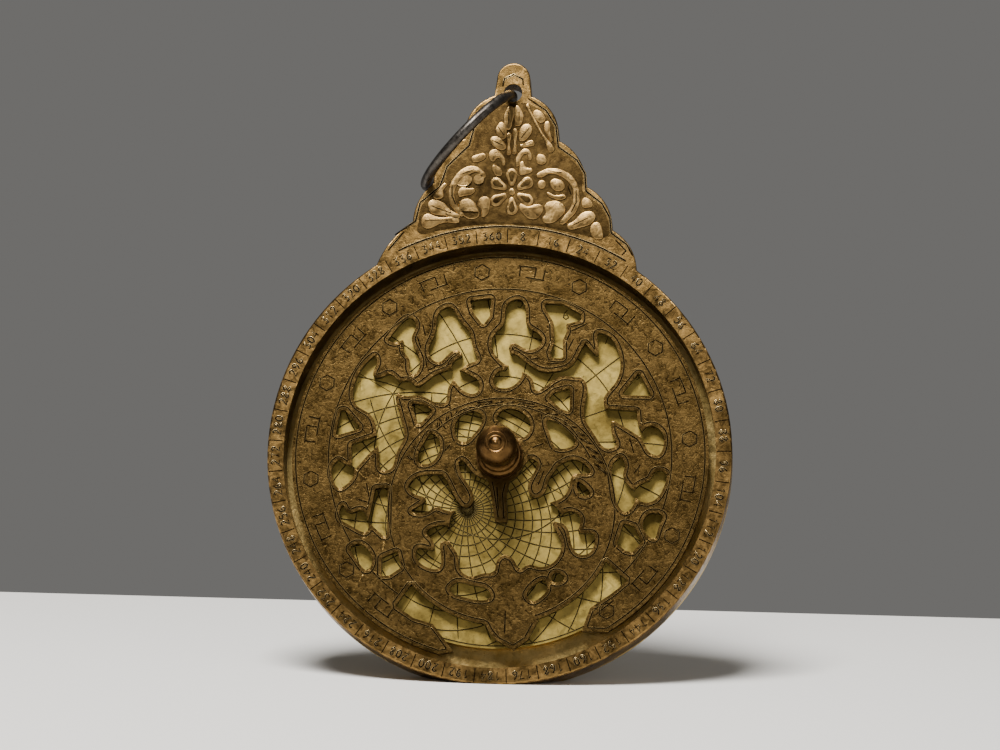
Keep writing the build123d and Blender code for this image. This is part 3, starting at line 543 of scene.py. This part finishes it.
# Polished sheet brass: a pale greenish yellow with wide, faint clouds of tarnish and hardly a pit.
sheet_brass = aged_metal("polished_sheet_brass", bright="#b39b53", tarnish="#6c5a2b", dirt_and_shade="#281f0b",
                         patch_mm=12.0, pit_mm=0.7, roughness=0.48, pit_depth_mm=0.03, worn=0.50)
for node in ("bottom", "lower", "upper", "top"):
    dress(node + "_latitude_plate", sheet_brass, "mater")

PLATE_FRONT = front_of("top_latitude_plate")
PLATE_RADIUS = radius_of("top_latitude_plate")
PLATE_STROKE_WIDTH = 0.36
SKY_EDGE = PLATE_RADIUS - 0.7
OBLIQUITY = math.radians(23.44)
LATITUDE = math.radians(38.0)
# The plate lies turned in the rim: its noon line points to the zenith this far clockwise from the top.
ZENITH_TURN = math.radians(209.7)
ALTITUDE_STEP_DEG = 6
BEARING_STEP_DEG = 10
CIRCLE_STEP = 1.1
CIRCLE_POINTS = (24, 260)
# The hour arcs below the horizon, as the photo shows them: their spread, how they lean outwards, and
# where their numbers stand.
HOUR_SPREAD = math.radians(15 * 1.15)
HOUR_LEAN = 0.18
HOUR_ARC_STEPS = 6
HOUR_FIGURE_RADIUS = 41.5
HOUR_FIGURE_BEFORE = 0.13
HOUR_FIGURE_HEIGHT = 2.6

# Circles of the sky, as the projection from the pole draws them: where they lie on the noon line.
equator_radius = PLATE_RADIUS * math.tan(math.pi / 4 - OBLIQUITY / 2)
cancer_radius = equator_radius * math.tan(math.pi / 4 - OBLIQUITY / 2)
horizon_centre = equator_radius * math.cos(LATITUDE) / math.sin(LATITUDE)
horizon_radius = equator_radius / math.sin(LATITUDE)
zenith = equator_radius * math.tan(math.pi / 4 - LATITUDE / 2)
nadir = -equator_radius / math.tan(math.pi / 4 - LATITUDE / 2)


def on_plate(along, aside):
    """A point given along the noon line towards the zenith, and square to it."""
    return (along * math.sin(ZENITH_TURN) + aside * math.cos(ZENITH_TURN),
            along * math.cos(ZENITH_TURN) - aside * math.sin(ZENITH_TURN))


def above_horizon(along, aside):
    return math.hypot(along - horizon_centre, aside) <= horizon_radius


def kept_runs(points, keep):
    """The stretches of a line, three points or longer, whose points all pass the test."""
    runs, run = [], []
    for point in points:
        if keep(*point):
            run.append(point)
        elif run:
            runs.append(run)
            run = []
    if run:
        runs.append(run)
    return [run for run in runs if len(run) > 2]


def plate_circle(along, aside, radius, inside_horizon=False):
    """The parts of a circle that fall on the plate, or only those above the horizon."""
    fewest, most = CIRCLE_POINTS
    count = int(min(most, max(fewest, 2 * math.pi * radius / CIRCLE_STEP)))
    circle = []
    for i in range(count + 1):
        turn = 2 * math.pi * i / count
        circle.append((along + radius * math.cos(turn), aside + radius * math.sin(turn)))

    def drawn(a, b):
        return math.hypot(a, b) <= SKY_EDGE and (above_horizon(a, b) or not inside_horizon)

    return [[on_plate(a, b) for a, b in run] for run in kept_runs(circle, drawn)]


plate_strokes = [ring_stroke(equator_radius), ring_stroke(cancer_radius), ring_stroke(SKY_EDGE)]
for altitude_deg in range(0, 90, ALTITUDE_STEP_DEG):
    altitude = math.radians(altitude_deg)
    spread = math.sin(LATITUDE) + math.sin(altitude)
    plate_strokes += plate_circle(equator_radius * math.cos(LATITUDE) / spread, 0.0,
                                  equator_radius * math.cos(altitude) / spread)
half_span = (zenith - nadir) / 2
for bearing_deg in range(-80, 90, BEARING_STEP_DEG):
    bearing = math.radians(bearing_deg)
    plate_strokes += plate_circle((zenith + nadir) / 2, half_span * math.tan(bearing),
                                  half_span / math.cos(bearing), inside_horizon=True)
plate_strokes.append([on_plate(-SKY_EDGE, 0), on_plate(SKY_EDGE, 0)])
plate_strokes.append([on_plate(0, -SKY_EDGE), on_plate(0, SKY_EDGE)])
for hour in range(1, 12):
    from_midnight = (hour - 6) * HOUR_SPREAD
    arc = []
    for step in range(HOUR_ARC_STEPS + 1):
        radius = cancer_radius + (SKY_EDGE - cancer_radius) * step / HOUR_ARC_STEPS
        lean = 1 + HOUR_LEAN * (radius - equator_radius) / equator_radius
        turn = math.pi + from_midnight * lean
        arc.append((radius * math.cos(turn), radius * math.sin(turn)))
    below = [point for point in arc if not above_horizon(*point)]
    if len(below) > 1:
        plate_strokes.append([on_plate(*point) for point in below])
    turn = math.pi + from_midnight - HOUR_FIGURE_BEFORE
    number_at = on_plate(HOUR_FIGURE_RADIUS * math.cos(turn), HOUR_FIGURE_RADIUS * math.sin(turn))
    plate_strokes += figures(str(hour), *number_at, HOUR_FIGURE_HEIGHT)
# Cuts in sheet brass: fine dark lines, the painted highlight on their edges hardly brighter than the sheet.
plate_furrow = furrow_material("graver_cut_in_sheet_brass", burr_highlight="#a8935a", furrow="#150f07",
                               face_mm=PLATE_FRONT, roughness=0.45)
engrave("plate_lines", plate_strokes, PLATE_FRONT, PLATE_STROKE_WIDTH, "mater", plate_furrow)


# The rete: a star map sawn and filed out of one brass sheet. Its face has browned and is finely pitted, its
# sawn edges are broken with the file, and every window has a line cut round it.
RETE_FRONT = front_of("rete")
RETE_EDGE = 0.16
RETE_STROKE_WIDTH = 0.58

# Browned brass: a dull brown, mottled and rough with pits, and painted nearly black down the walls of the
# windows as shade.
rete_brass = aged_metal("browned_pierced_brass", bright="#66502b", tarnish="#423217", dirt_and_shade="#100a04",
                        patch_mm=5.0, pit_mm=0.36, roughness=0.33, pit_depth_mm=0.13, worn=0.52,
                        wall_shade_behind_mm=RETE_FRONT + 0.15)
dress("rete", rete_brass, "rete", bevel_mm=RETE_EDGE)


def face_outlines(node, face_mm):
    """The outlines of a flat front face, as loops of points, with the metal on the left."""
    shape = bmesh.new()
    shape.from_mesh(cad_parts[node].data)
    bmesh.ops.remove_doubles(shape, verts=shape.verts, dist=MERGE_M)
    following = {}
    for face in shape.faces:
        looks_forward = face.normal.y < -0.9
        if looks_forward and abs(face.calc_center_median().y * 1000 - face_mm) < 0.05:
            for loop in face.loops:
                if any(abs(other.normal.y) < 0.5 for other in loop.edge.link_faces):
                    following[loop.vert.index] = loop.link_loop_next.vert.index
    places = {vert.index: (vert.co.x * 1000, vert.co.z * 1000) for vert in shape.verts}
    shape.free()
    loops = []
    while following:
        chain, here = [], next(iter(following))
        while here in following:
            chain.append(places[here])
            here = following.pop(here)
        loops.append(chain)
    return loops


def sides(outline):
    """Each point of a closed outline with the one after it."""
    return zip(outline, outline[1:] + outline[:1])


def evenly(outline, step):
    """The closed outline again, with points about a step apart."""
    spaced = []
    for (x1, z1), (x2, z2) in sides(outline):
        count = max(1, round(math.dist((x1, z1), (x2, z2)) / step))
        for i in range(count):
            spaced.append((x1 + (x2 - x1) * i / count, z1 + (z2 - z1) * i / count))
    return spaced


LINE_INSET = 0.95
LINE_STEP = 0.45
OUTLINE_STEP = 0.35
# How near a line may come to another outline and to the axis, the fewest points that it has, and the size
# of the cells that sort the outlines' points so that the near ones are found quickly.
CLEAR_OF_EDGES = 0.93 * LINE_INSET
CLEAR_OF_KNOB = 7
SHORTEST_RUN = 6
SEARCH_CELL = 3


def beside(outlines):
    """Lines that follow each outline inside the metal, and stop where the metal is too narrow."""
    cells = {}
    for outline in outlines:
        for x, z in evenly(outline, OUTLINE_STEP):
            cells.setdefault((int(x // SEARCH_CELL), int(z // SEARCH_CELL)), []).append((x, z))

    def clear_of_edges(x, z):
        column, row = int(x // SEARCH_CELL), int(z // SEARCH_CELL)
        for cell in [(column + i, row + j) for i in (-1, 0, 1) for j in (-1, 0, 1)]:
            if any(math.dist((x, z), point) <= CLEAR_OF_EDGES for point in cells.get(cell, ())):
                return False
        return True

    lines = []
    for outline in outlines:
        run = []
        for (x1, z1), (x2, z2) in sides(evenly(outline, LINE_STEP)):
            length = math.dist((x1, z1), (x2, z2)) or 1.0
            x = (x1 + x2) / 2 + (z1 - z2) / length * LINE_INSET
            z = (z1 + z2) / 2 + (x2 - x1) / length * LINE_INSET
            if clear_of_edges(x, z) and math.hypot(x, z) > CLEAR_OF_KNOB:
                run.append((x, z))
            else:
                lines.append(run)
                run = []
        lines.append(run)
    return [line for line in lines if len(line) >= SHORTEST_RUN]


def straight_cut(start, end):
    """One push of the graver: widest in the middle, because engrave narrows both of its ends."""
    middle = ((start[0] + end[0]) / 2, (start[1] + end[1]) / 2)
    return [start, middle, end]


# The sheet's outlines without the hole for the axis, and those of them that come inside the outer band.
AXIS_HOLE_REACH = 3.5
BAND_INSIDE_RADIUS = 45
sheet_outlines = [outline for outline in face_outlines("rete", RETE_FRONT)
                  if max(math.hypot(*point) for point in outline) > AXIS_HOLE_REACH]
window_outlines = [outline for outline in sheet_outlines
                   if min(math.hypot(*point) for point in outline) < BAND_INSIDE_RADIUS]
rete_strokes = beside(window_outlines)

# The ecliptic ring, whose centre lies below the axis: its outer line, and an inner line that lies higher.
ECLIPTIC = (1.0, -13.9)
ECLIPTIC_OUTER_RADIUS = 29.2
ECLIPTIC_INNER_RADIUS = 25.4
ECLIPTIC_INNER_CENTRE = (1.0, -11.9)
rete_strokes.append(ring_stroke(ECLIPTIC_OUTER_RADIUS, *ECLIPTIC, start=-150, end=150))
rete_strokes.append(ring_stroke(ECLIPTIC_INNER_RADIUS, *ECLIPTIC_INNER_CENTRE, start=-62, end=62))

# The outer band: its inner line, and signs round it that are rings and square brackets by turns.
BAND_LINE_RADIUS = 44.4
SIGN_RADIUS = 49.2
SIGN_RING_RADIUS = 2.1
BAND_SIGNS = 20
FIRST_SIGN_DEG = -144
# A bracket's two arcs, by how far outward each lies and where it starts and ends, and its three spokes.
BRACKET_ARCS = ((1.6, -3.6, 1.0), (-1.3, -1.5, 3.8))
BRACKET_ARC_DEG = 1.15
BRACKET_SPOKES_DEG = (-3.6, 1.1, 3.8)
BRACKET_SPOKE_SPAN = (48.0, 50.8)
rete_strokes.append(ring_stroke(BAND_LINE_RADIUS, start=-150, end=148))
for sign in range(BAND_SIGNS):
    turn_deg = FIRST_SIGN_DEG * (1 - 2 * sign / (BAND_SIGNS - 1))
    if sign % 2:
        rete_strokes.append(ring_stroke(SIGN_RING_RADIUS, *around(SIGN_RADIUS, math.radians(turn_deg)),
                                        step_mm=SIGN_RING_RADIUS))
    else:
        for outward, start, end in BRACKET_ARCS:
            rete_strokes.append(ring_stroke(SIGN_RADIUS + outward, start=turn_deg + start * BRACKET_ARC_DEG,
                                            end=turn_deg + end * BRACKET_ARC_DEG, step_mm=1.3))
        for along_deg in BRACKET_SPOKES_DEG:
            spoke = math.radians(turn_deg + along_deg)
            rete_strokes.append(straight_cut(*(around(radius, spoke) for radius in BRACKET_SPOKE_SPAN)))

# The feathers between the ecliptic ring's two lines: pairs of cuts that slant outwards.
FEATHER_STEP_DEG = 6
FEATHER_SPAN = (26.1, 28.4)
FEATHER_INNER_LIFT = 1.6
FEATHER_SLANT = 0.07
FEATHER_PAIR = (0.0, 0.5)
for feather_deg in range(-66, 69, FEATHER_STEP_DEG):
    turn = math.radians(feather_deg)
    inner_x, inner_z = around(FEATHER_SPAN[0], turn)
    outer_x, outer_z = around(FEATHER_SPAN[1], turn + FEATHER_SLANT)
    for aside in FEATHER_PAIR:
        rete_strokes.append(straight_cut(
            (ECLIPTIC[0] + inner_x + aside, ECLIPTIC[1] + FEATHER_INNER_LIFT + inner_z),
            (ECLIPTIC[0] + outer_x + aside, ECLIPTIC[1] + outer_z)))

# The short cuts on the beasts, leaves and fingers.
LEAF_CUTS = [
    ((-22.6, 31.0), (-21.6, 28.0)), ((-21.4, 34.4), (-20.6, 31.4)), ((-20.4, 26.0), (-19.9, 23.4)),
    ((-16.2, 22.9), (-13.6, 24.2)), ((-19.6, 22.2), (-17.4, 23.4)), ((11.2, 24.6), (14.4, 25.0)),
    ((16.6, 28.4), (18.0, 31.4)), ((17.4, 33.6), (21.4, 35.6)), ((6.0, 25.6), (9.4, 26.2)),
    ((-16.2, 9.6), (-14.2, 6.6)), ((-13.6, 13.4), (-12.8, 9.8)), ((10.2, 12.6), (10.8, 8.4)),
    ((-34.2, -8.0), (-33.4, -11.6)), ((-36.2, -12.4), (-33.8, -13.0)), ((33.4, 5.4), (34.6, 1.6)),
    ((36.4, -1.4), (34.8, -3.8)), ((-9.6, -7.6), (-11.8, -3.2)), ((0.2, -14.6), (-0.4, -8.2)),
    ((10.2, -7.4), (11.6, -3.6)), ((-14.6, 0.6), (-13.0, 2.6)), ((8.4, 2.4), (11.2, 3.6)),
    ((3.0, -46.4), (3.0, -40.4)), ((26.2, -40.8), (30.6, -37.0)), ((4.6, 14.4), (8.6, 13.8)),
    ((-6.4, 13.9), (-2.4, 14.4)),
]
rete_strokes += [straight_cut(*cut) for cut in LEAF_CUTS]


def on_metal(x, z):
    """Whether a point lies on the pierced sheet: it is then inside an odd number of its outlines."""
    crossings = 0
    for outline in sheet_outlines:
        for (x1, z1), (x2, z2) in sides(outline):
            if (z1 > z) != (z2 > z) and x < x1 + (z - z1) * (x2 - x1) / (z2 - z1):
                crossings += 1
    return crossings % 2 == 1


rete_strokes = [run for stroke in rete_strokes for run in kept_runs(stroke, on_metal)]
# Cuts in browned brass: black lines with a painted highlight on their edges.
rete_furrow = furrow_material("graver_cut_in_browned_brass", burr_highlight="#a88b55", furrow="#0d0904",
                              face_mm=RETE_FRONT, roughness=0.32)
engrave("rete_lines", rete_strokes, RETE_FRONT, RETE_STROKE_WIDTH, "rete", rete_furrow)


# The axis: a knob turned from bronze on a headed bolt, over plain washers. The bronze is waxed, and has
# gone a reddish brown.

# Turned bronze: smooth and a little redder than the brass, with small soft patches and a clear highlight.
bronze = aged_metal("turned_brown_bronze", bright="#674c2a", tarnish="#432f18", dirt_and_shade="#140d06",
                    patch_mm=4.0, pit_mm=0.3, roughness=0.33, pit_depth_mm=0.04, worn=0.5)
for node in ("axis_bolt", "knob", "front_washer", "back_washer"):
    dress(node, bronze, "axis", smooth_deg=40)


# The back: a sheet brass plate riveted over the recess, with a degree scale round its edge, a ring of hours
# and a shadow square, all cut with the graver.

# Scraped back sheet: a paler, drier brass than the front, in clouds a few millimetres wide.
back_sheet = aged_metal("scraped_back_sheet", bright="#bfa468", tarnish="#86703d", dirt_and_shade="#2c2110",
                        patch_mm=8.0, pit_mm=0.5, roughness=0.40, pit_depth_mm=0.06, worn=0.50)
dress("back_plate", back_sheet, "mater")

BACK_FACE = back_of("back_plate")
BACK_STROKE_WIDTH = 0.45
SCALE_OUTER = 58.4
SCALE_MIDDLE = 55.6
SCALE_INNER = 52.4
HOUR_RING = (38.4, 40.0)
SCALE_TICKS = 120
TICKS_TO_A_LONG_ONE = 5
BACK_LABELS = 24
BACK_LABEL_RADIUS = 54.0
BACK_LABEL_HEIGHT = 1.9
HOUR_TICKS = 12
SQUARE = (25.0, 27.0)
SQUARE_TICK_STEP = 4.0
SQUARE_TICKS = 7

back_strokes = [ring_stroke(radius) for radius in (SCALE_OUTER, SCALE_MIDDLE, SCALE_INNER)]
back_strokes += [ring_stroke(radius) for radius in reversed(HOUR_RING)]
for tick in range(SCALE_TICKS):
    turn = 2 * math.pi * tick / SCALE_TICKS
    tick_inner = SCALE_MIDDLE if tick % TICKS_TO_A_LONG_ONE else SCALE_INNER
    back_strokes.append([around(radius, turn) for radius in (tick_inner, SCALE_OUTER)])
for label in range(BACK_LABELS):
    turn = 2 * math.pi * (label + 0.5) / BACK_LABELS
    back_strokes += figures(str((label + 1) * 360 // BACK_LABELS), *around(BACK_LABEL_RADIUS, turn),
                            BACK_LABEL_HEIGHT, turn)
for tick in range(HOUR_TICKS):
    turn = 2 * math.pi * tick / HOUR_TICKS
    back_strokes.append([around(radius, turn) for radius in HOUR_RING])
back_strokes.append([(-HOUR_RING[0], 0), (HOUR_RING[0], 0)])
back_strokes.append([(0, -HOUR_RING[0]), (0, HOUR_RING[0])])
for tick in range(1, SQUARE_TICKS + 1):
    for x in (-tick * SQUARE_TICK_STEP, tick * SQUARE_TICK_STEP):
        back_strokes.append([(x, -side) for side in reversed(SQUARE)])
for side in reversed(SQUARE):
    back_strokes.append([(-side, 0), (-side, -side), (side, -side), (side, 0)])
# Cuts in the back sheet: dark brown lines with a painted highlight on their edges, softer than those of the
# front.
back_furrow = furrow_material("graver_cut_in_back_sheet", burr_highlight="#c3a86c", furrow="#120c05",
                              face_mm=BACK_FACE, roughness=0.36, back=True)
engrave("back_scales", back_strokes, BACK_FACE, BACK_STROKE_WIDTH, "mater", back_furrow,
        back=True)

# Filed rivet brass, of the rivets and the peg: small clean ends, a little brighter than the plate they hold.
rivet_brass = aged_metal("filed_rivet_brass", bright="#b5935a", tarnish="#8f7040", dirt_and_shade="#3a2a18",
                         patch_mm=3.0, pit_mm=0.3, roughness=0.38, pit_depth_mm=0.03, worn=0.5)
dress("rim_rivets", rivet_brass, "mater")
dress("locating_peg", rivet_brass, "mater")


# The alidade: a sighting bar filed from thick brass, with two upright vanes riveted on. Its edges are broken
# with the file.
ALIDADE_EDGE = 0.12
dress("vane_rivets", rivet_brass, "alidade")
# Scraped bar brass: warmer than the plate behind it, with long wear from the fingers that turn it.
alidade_brass = aged_metal("scraped_brass_bar", bright="#a98a52", tarnish="#84683c", dirt_and_shade="#33250f",
                           patch_mm=7.0, pit_mm=0.4, roughness=0.36, pit_depth_mm=0.04, worn=0.52)
for node in ("alidade_bar", "left_sighting_vane", "right_sighting_vane"):
    dress(node, alidade_brass, "alidade", bevel_mm=ALIDADE_EDGE)


# The hanging ring: iron wire bent round and closed, blackened with age and rubbed grey by the hand. It
# hangs loose in the throne's eye.

# Worn iron: dark grey against the brass, with rusty black in its pits and a dull shine on its outside.
ring_iron = aged_metal("hand_worn_iron", bright="#5b5650", tarnish="#35302b", dirt_and_shade="#171310", patch_mm=3.0,
                       pit_mm=0.35, roughness=0.36, pit_depth_mm=0.05, worn=0.48)
dress("suspension_ring", ring_iron, "ring", smooth_deg=60)


# The studio: a pale paper floor under the leaning instrument, one strong soft light above and in front, a
# little to the left, and a weak fill from the right. Its sizes are in metres.
FLOOR_TILT = math.radians(17)
FLOOR_BACK = 0.16
FLOOR_FRONT = -0.75
FLOOR_WIDTH = 2.4
LIT_POINT = Vector((0, 0, 0.01))
LIGHTS = (
    # name, place, size, power in watts
    ("key_light", (-0.15, -0.55, 0.75), 0.35, 28.0),
    ("fill_light", (0.8, -0.8, 0.1), 0.8, 3.0),
)
WORLD_COLOUR = "#dcdad6"
WORLD_STRENGTH = 0.22

floor_shape = bmesh.new()
bmesh.ops.create_grid(floor_shape, x_segments=1, y_segments=1, size=0.5)
floor_mesh = bpy.data.meshes.new("floor")
floor_shape.to_mesh(floor_mesh)
floor_shape.free()
floor_mesh.transform(
    Matrix.Translation((0, 0, cad_box[0][2]))
    @ Matrix.Rotation(FLOOR_TILT, 4, "X")
    @ Matrix.Translation((0, (FLOOR_BACK + FLOOR_FRONT) / 2, 0))
    @ Matrix.Diagonal((FLOOR_WIDTH, FLOOR_BACK - FLOOR_FRONT, 1, 1))
)
floor = add_object("floor", floor_mesh)
# Pale paper: matt and even, so that only the instrument's shadow marks it.
pale, tree = blank_material("pale_paper_floor")
paper = add(tree, "BsdfPrincipled", {"Base Color": linear("#c9c6c0"), "Roughness": 0.9})
add(tree, "OutputMaterial", {"Surface": paper.outputs[0]})
floor_mesh.materials.append(pale)

for name, place, size, power in LIGHTS:
    lamp = bpy.data.lights.new(name, "AREA")
    lamp.shape = "SQUARE"
    lamp.size = size
    lamp.energy = power
    stand = add_object(name, lamp)
    stand.location = place
    stand.rotation_euler = (Vector(place) - LIT_POINT).to_track_quat("Z", "Y").to_euler()

world = bpy.data.worlds.new("studio")
bpy.context.scene.world = world
world.use_nodes = True
background = world.node_tree.nodes["Background"]
background.inputs["Color"].default_value = linear(WORLD_COLOUR)
background.inputs["Strength"].default_value = WORLD_STRENGTH
